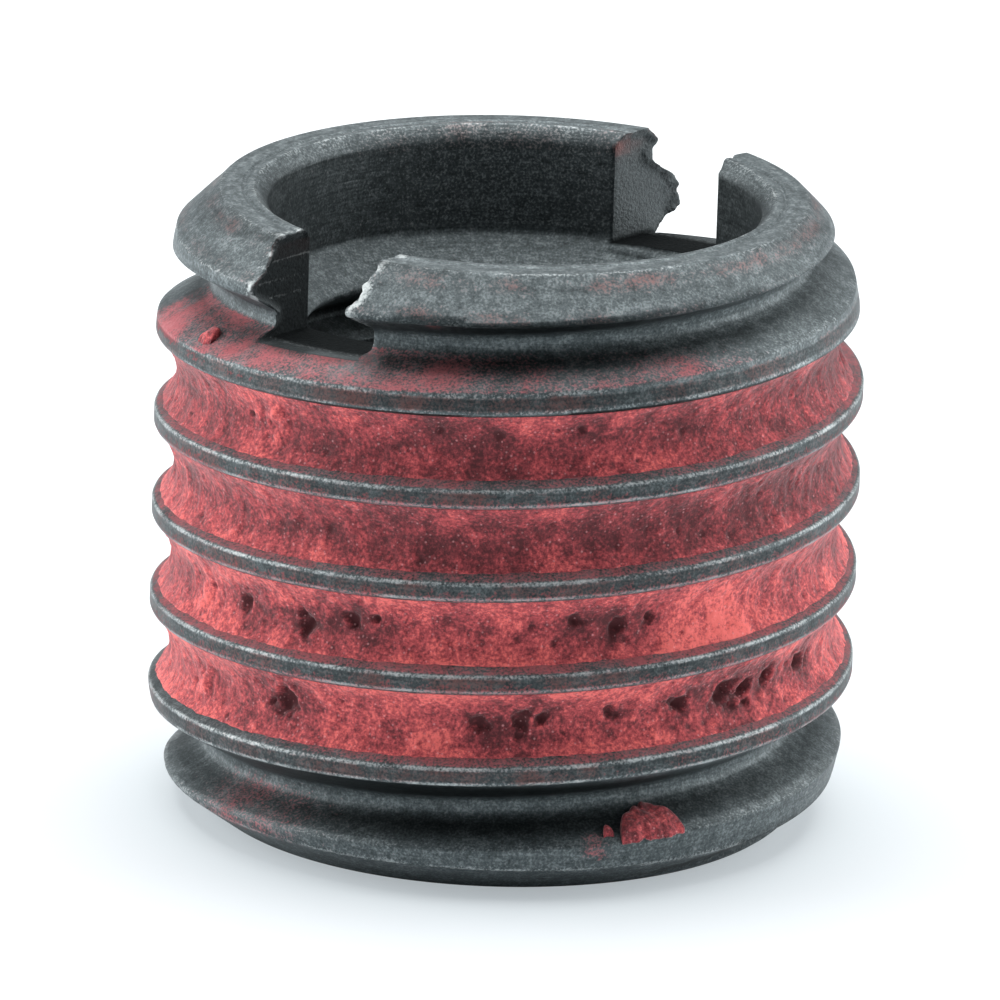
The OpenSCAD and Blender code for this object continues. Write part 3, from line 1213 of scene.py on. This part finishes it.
@dataclass(frozen=True)
class Crumb:
    """A crumb of compound on a flank: a half disc with its straight side along the
    crest, rounded above, lumpy and ragged. Its angle and span are in degrees."""

    angle: float = 297.3
    span: float = 11.6
    turn: int = 1
    outer_radius: float = 9.225
    width: float = 1.0
    height: float = 0.35
    lift: float = 0.01
    stations: int = 61
    places: int = 21

    def build(self, form: ThreadForm) -> Mesh:
        """The closed crumb: a ring across the flank at each station along its length.

        At station u from -1 to 1 the ring is sqrt(1 - u^2) of the full width. Its top
        rises over the flank by height (1 - u^2)^(1/4) (1 - w^4), where w runs from -1 to
        1 across it.

        Args:
            form: the outer thread.

        Returns:
            The points and triangles.
        """
        u = np.linspace(-1, 1, self.stations)[:, None]
        part = np.sqrt(np.maximum(0.01, 1 - u * u))
        w = np.linspace(-1, 1, self.places)[None, :]
        angle = np.radians(self.angle) + u * np.radians(self.span / 2)
        edge = around(angle, FACE_RADIUS, 0 * angle)
        reach = self.width * part * (1 + 0.12 * rough(edge, 0.25, 90))
        radius = self.outer_radius - 0.12 * np.abs(rough(edge, 0.3, 93)) - reach * (w + 1) / 2
        place = around(angle, radius, 0 * radius)
        lumps = 0.85 + 0.26 * rough(place, 0.4, 91, 2) + 0.1 * rough(place, 0.16, 94, 1)
        rise = self.height * np.sqrt(part) * (1 - w**4) * lumps
        flank = -form.root_flat / 2 - (radius - form.root_radius) * FLANK
        base = form.middle(angle) + self.turn * form.pitch + flank + self.lift
        over = around(angle, radius, base + rise)
        under = around(angle, radius[:, ::-1], (base - 0.05)[:, ::-1])
        return capped_tube(np.concatenate([over, under], axis=1))


@dataclass(frozen=True)
class LockingCompound:
    """The dried red compound: a helical fill of the grooves with a dished, grainy face,
    pores, a few lumps and ragged ends, and crumbs that stick to the flanks."""

    form: ThreadForm
    envelope: Callable[[Array], Array]
    low: float = 3.7
    high: float = 13.35
    low_edge: float = 9.17
    high_edge: float = 9.36
    dish: float = 0.42
    end_sink: float = 0.1
    back_sink: float = 0.2
    back_reach: float = 0.15
    stations: int = 3300
    width_steps: int = 25

    def marks(self, points: Array, angle: Array, height: Array, t: Array,
              sideways: Array) -> tuple[Array, Array, Array]:
        """Lumps, spots and grains of the face, patches of lighter or darker red, and painted shade and light.

        A spot is exp(-d^3) of the distance d from its middle over its radius, and a pore
        has a pale rim at d = 1.4.

        Args:
            points: the smooth face.
            angle: direction of each row, which goes on over the turns.
            height: height of each point.
            t: place across the groove, from -1 to 1.
            sideways: 1 at the sides and behind, 0 in front.

        Returns:
            How far the face is lifted, its tone and its pores.
        """
        turn, front = angle % TURN, 1.5 * math.pi
        lumps = 0.07 * rough(points, 0.55, 71, 2) + 0.09 * rough(points, 0.24, 72, 1)
        upper = step_up(height, 9.1, 8.3)
        tone = 0.27 + 0.16 * upper + 0.22 * rough(points, 1.3, 73) + 0.22 * rough(points, 0.4, 74)
        # The sideways share is painted light: lighter at the sides and behind.
        tone += 0.2 * (np.abs(t) - 0.45) + 1.9 * lumps + 0.04 * sideways
        # Painted shade: darker on the right of the upper grooves and on the left of the top one.
        tone -= 0.14 * bump_at(turn, math.radians(340), 0.45) * step_up(height, 6.0, 8.5)
        tone -= 0.12 * bump_at(turn, math.radians(200), 0.3) * step_up(height, 10.0, 11.5)
        # Darker in front at mid-height: partly the red's own tone, partly painted shade.
        tone -= 0.08 * bump_at(height, 10.3, 1.0) * bump_at(turn, front, 1.0)
        tone += 0.14 * bump_at(height, 7.7, 0.7) * bump_at(turn, math.radians(309), 0.16)
        uneven = rough(points, 0.24, 77, 2)
        pore = np.zeros_like(height)
        change = 0.55 * lumps
        for spot in SPOTS:
            away = spot.away(angle, height, uneven)
            here = np.exp(-(away**3))
            change -= spot.sink * here
            if spot.sink > 0:
                pore = np.maximum(pore, here)
                rim = np.exp(-(((away - 1.4) / 0.35) ** 2)) * np.clip(0.35 + 3 * uneven, 0, 1)
                tone += 0.3 * rim - 0.26 * np.exp(-((away / 3) ** 2))
                change += 0.04 * rim
            else:
                tone += 0.25 * here
        small = grains(points, 0.42, 0.28, 75)
        raised = grains(points, 0.5, 0.3, 101)
        pore = np.maximum(0.85 * pore, 0.7 * small)
        return change - 0.07 * small + 0.04 * raised, tone + 0.22 * raised, pore

    def fill(self) -> tuple[Mesh, Array, Array]:
        """The fill of the grooves.

        Along the groove runs the angle, across it t from -1 to 1. The face lies at
        edge radius - dish (1 - t^2), and its edges and both ends sink into the steel.
        Noise, spots and grains lift or sink it along the radius.

        Returns:
            The mesh, and the tone and pore numbers of its points.
        """
        form = self.form
        first = math.radians(form.start) + self.low / form.pitch * TURN
        last = math.radians(form.start) + self.high / form.pitch * TURN
        angle = np.linspace(first, last, self.stations)
        t = np.linspace(-1, 1, self.width_steps)[None, :]
        spread = around(angle[:, None], FACE_RADIUS, form.middle(angle)[:, None] + t)
        drift = angle[:, None] + 0.3 * rough(spread, 0.9, 78)
        ends = np.minimum(step_up(drift, first + 0.1, first + 0.7), step_up(drift, last - 0.1, last - 0.7))
        ends[[0, -1]] = 0
        path = around(angle, FACE_RADIUS, form.middle(angle))
        sideways = (1 - bump_at(angle % TURN, 1.5 * math.pi, 1.0))[:, None]
        low_edge = self.low_edge + 0.13 * sideways + 0.04 * rough(path, 0.35, 61)[:, None]
        high_edge = self.high_edge + 0.04 * rough(path, 0.35, 62)[:, None]
        steel = self.envelope(form.middle(angle) + form.pitch / 2)[:, None]
        high_edge = np.minimum(high_edge, steel - 0.1)
        foot = form.root_radius - self.end_sink
        edge = (low_edge + high_edge) / 2 + t * (high_edge - low_edge) / 2
        edge = foot + (edge - foot) * ends
        across = t * (form.root_flat / 2 + (edge - form.root_radius) * FLANK + 0.02)
        radius = edge - self.dish * ends * (1 - t * t)
        angle = angle[:, None]
        height = form.middle(angle) + across
        points = around(angle, radius, height)

        change, tone, pore = self.marks(points, angle, height, t, sideways)
        inner = np.minimum(1, (1 - np.abs(t)) * 6) * ends
        face = around(angle, radius + inner * change, height)
        back = form.middle(angle) + np.array([[self.back_reach, -self.back_reach]])
        back = around(angle, form.root_radius - self.back_sink, back)
        mesh = capped_tube(np.concatenate([face, back], axis=1))
        pad = np.zeros((self.stations, 2))
        tone, pore = (np.concatenate([v, pad], 1).reshape(-1) for v in (tone, pore))
        return mesh, tone, pore

    def make(self) -> bpy.types.Object:
        """Builds and dresses the compound.

        Returns:
            The compound with its crumbs.
        """
        fill, tone, pore = self.fill()
        lump = Crumb(208.3, 3.6, turn=6, outer_radius=9.23, width=0.5, height=0.24)
        bit = Crumb(289.6, 1.8, outer_radius=9.0, width=0.3, height=0.14, stations=25, places=9)
        crumbs = stacked([part.build(self.form) for part in (Crumb(), lump, bit)])
        own = 0.3 + 0.3 * rough(crumbs[0], 0.3, 92)
        thing = new_object("red_compound_fill", stacked([fill, crumbs]), [DriedCompound().make()])
        set_mask(thing, Mask.TONE, np.concatenate([tone, own]))
        set_mask(thing, Mask.PIT, np.concatenate([pore, 0 * own]))
        return thing


@dataclass(frozen=True)
class Studio:
    """Pale floor, soft lights, white background and the camera of the photograph.

    The camera looks 17 degrees down, turned 1.8 degrees about its own axis. Its place
    comes from a fit of the thread's crests, in millimetres and pixels.
    """

    elevation: float = 0.2972
    roll: float = 0.0316
    target: float = 8.1185
    distance: float = 343.64
    aside: float = -0.1374
    above: float = 0.2071
    focal_pixels: float = 12809.6
    picture: float = 1000.0
    sensor: float = 36.0
    table_size: float = 2000.0
    aim_height: float = 8.0
    lamps: tuple[tuple[str, tuple[float, float, float], float, float], ...] = (
        ("overhead_softbox", (0.0, 90.0, 330.0), 380.0, 2.05),
        ("left_softbox", (-300.0, 40.0, 110.0), 280.0, 1.15),
        ("right_softbox", (300.0, 60.0, 110.0), 280.0, 1.0))

    def camera(self) -> None:
        """Places the camera: axes from the elevation and roll, then the shift."""
        e, roll = self.elevation, self.roll
        ahead = Vector((0, math.cos(e), -math.sin(e)))
        up = Vector((0, math.sin(e), math.cos(e)))
        side = Vector((1, 0, 0))
        right = side * math.cos(roll) + up * math.sin(roll)
        over = up * math.cos(roll) - side * math.sin(roll)
        place = Vector((0, 0, self.target)) - ahead * self.distance
        place += right * self.aside + over * self.above
        data = bpy.data.cameras.new("camera")
        data.sensor_width = self.sensor
        data.lens = self.focal_pixels / self.picture * self.sensor
        data.clip_start, data.clip_end = 0.01, 10.0
        thing = bpy.data.objects.new("camera", data)
        bpy.context.scene.collection.objects.link(thing)
        axes = Matrix((right, over, -ahead)).transposed()
        thing.matrix_world = Matrix.Translation(place * MM) @ axes.to_4x4()
        bpy.context.scene.camera = thing

    def floor(self) -> None:
        """Lays the table flat under the insert."""
        size = self.table_size
        corners = np.array([[-size, -size, 0], [size, -size, 0], [size, size, 0], [-size, size, 0.0]])
        faces = np.array([[0, 1, 2], [0, 2, 3]])
        new_object("table", (corners, faces), [WhiteTable().make()])

    def lamp(self, name: str, place: tuple[float, float, float], size: float, power: float) -> None:
        """Adds a square soft lamp at a place in millimetres, turned to the insert.

        Args:
            name: the lamp's name.
            place: its middle.
            size: its side.
            power: its watts.
        """
        data = bpy.data.lights.new(name, "AREA")
        data.shape, data.size, data.energy = "SQUARE", size * MM, power
        thing = bpy.data.objects.new(name, data)
        bpy.context.scene.collection.objects.link(thing)
        thing.location = Vector(place) * MM
        aim = Vector((0, 0, self.aim_height)) * MM - thing.location
        thing.rotation_euler = aim.to_track_quat("-Z", "Y").to_euler()

    def world(self) -> None:
        """A soft grey-white surround, which the camera sees as plain white."""
        world = bpy.data.worlds.new("surround")
        world.use_nodes = True
        tree = world.node_tree
        tree.nodes.clear()
        seen = add(tree, "LightPath", out="Is Camera Ray")
        soft, white = (add(tree, "Background", {"Color": linear(code), "Strength": strength})
                       for code, strength in (("e8eef2", 0.3), ("ffffff", 1.0)))
        mixed = add(tree, "MixShader", {0: seen, 1: soft, 2: white})
        add(tree, "OutputWorld", {0: mixed})
        bpy.context.scene.world = world

    def make(self) -> None:
        """Builds the camera, floor, lamps and surround."""
        self.camera()
        self.floor()
        for lamp in self.lamps:
            self.lamp(*lamp)
        self.world()
        bpy.context.scene.view_settings.view_transform = "Standard"


def main() -> None:
    """Builds the studio and both pieces."""
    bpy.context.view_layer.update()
    Studio().make()
    LOG.info("studio ready")
    steel = SteelInsert()
    body = steel.make()
    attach(body, "root")
    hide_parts("insert_body")
    LOG.info("steel insert: %d faces", len(body.data.polygons))
    red = LockingCompound(steel.outer, steel.outer_envelope).make()
    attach(red, "root")
    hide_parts("locking_compound")
    LOG.info("locking compound: %d faces", len(red.data.polygons))


if __name__ == "__main__":
    logging.basicConfig(level=logging.INFO)
    main()
